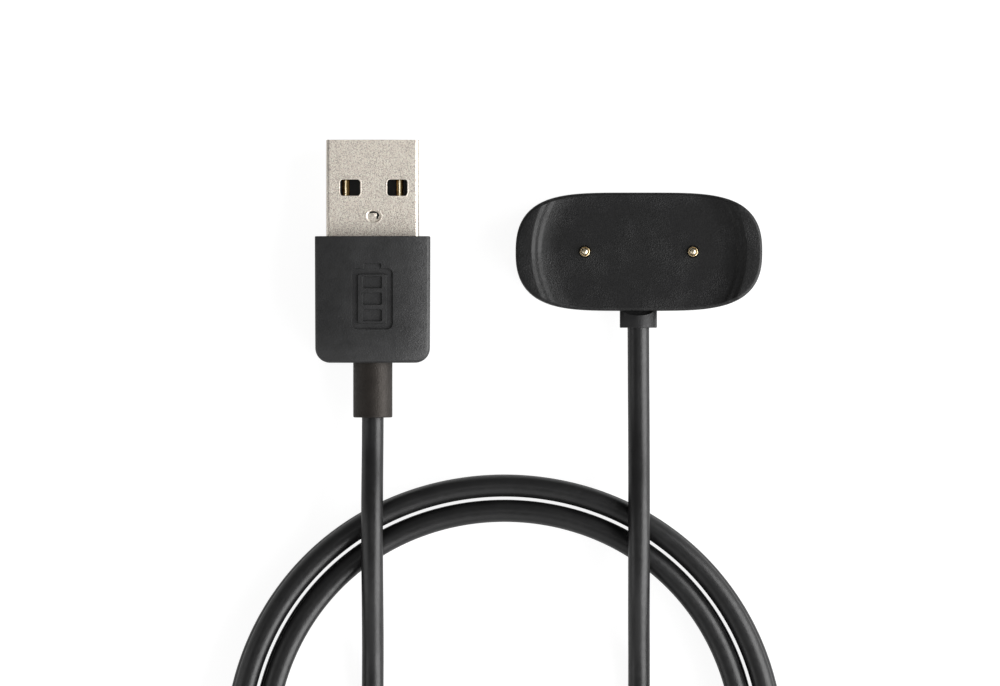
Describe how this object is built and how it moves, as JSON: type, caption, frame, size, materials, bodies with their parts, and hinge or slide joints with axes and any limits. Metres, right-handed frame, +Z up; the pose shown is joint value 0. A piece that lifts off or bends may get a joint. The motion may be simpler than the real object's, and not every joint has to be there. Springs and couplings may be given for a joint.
{
  "type": "fitness tracker charging cable",
  "caption": "USB-A charging cable with a coiled round cord and an oblong magnetic charging head that has a round seat and spring contacts.",
  "frame": {"origin": "centre of the charging head's back face, on the table", "axes": "+X along the head from its left contact to its right one, +Y away from the cord, +Z up out of the round seat"},
  "size_m": [0.0724, 0.1158, 0.0085],
  "materials": {
    "head_plastic": "black, fine spark-eroded grain",
    "grip_pvc": "black soft PVC, satin",
    "cord_pvc": "black PVC jacket, satin",
    "shell_metal": "nickel plated, fine matte grain",
    "gold": "gold plated",
    "insulator": "black, satin",
    "inner_mould": "milky white",
    "magnet": "nickel plated",
    "board": "green solder mask",
    "solder": "bright tin",
    "wire_red": "red insulation",
    "wire_black": "black insulation",
    "spring_steel": "bright spring wire"
  },
  "bodies": {
    "cable": {"head_back_shell": "head_plastic", "head_front_cover": "head_plastic", "pogo_barrel_left": "gold", "pogo_barrel_right": "gold", "pogo_spring_left": "spring_steel", "pogo_spring_right": "spring_steel", "magnet_left": "magnet", "magnet_right": "magnet", "contact_board": "board", "head_solder_joints": "solder", "head_wire_red": "wire_red", "head_wire_black": "wire_black", "head_cord_collar": "grip_pvc", "usb_shell": "shell_metal", "usb_insulator": "insulator", "usb_contact_power": "gold", "usb_contact_data_minus": "gold", "usb_contact_data_plus": "gold", "usb_contact_ground": "gold", "usb_solder_joints": "solder", "usb_wire_red": "wire_red", "usb_wire_black": "wire_black", "usb_inner_mould": "inner_mould", "usb_grip": "grip_pvc", "usb_strain_relief": "grip_pvc", "cord_plug_end": "cord_pvc", "cord_head_end": "cord_pvc", "cord_coil": "cord_pvc"},
    "left_plunger": {"pogo_plunger_left": "gold"},
    "right_plunger": {"pogo_plunger_right": "gold"}
  },
  "joints": [
    {"name": "left_contact_press", "type": "slide", "parent": "cable", "child": "left_plunger", "axis": [0, 0, -1], "range_m": [0, 0.0007], "stiffness_N_per_m": 500, "springref_m": -0.0006, "deforming": ["pogo_spring_left"]},
    {"name": "right_contact_press", "type": "slide", "parent": "cable", "child": "right_plunger", "axis": [0, 0, -1], "range_m": [0, 0.0007], "stiffness_N_per_m": 500, "springref_m": -0.0006, "deforming": ["pogo_spring_right"]}
  ]
}
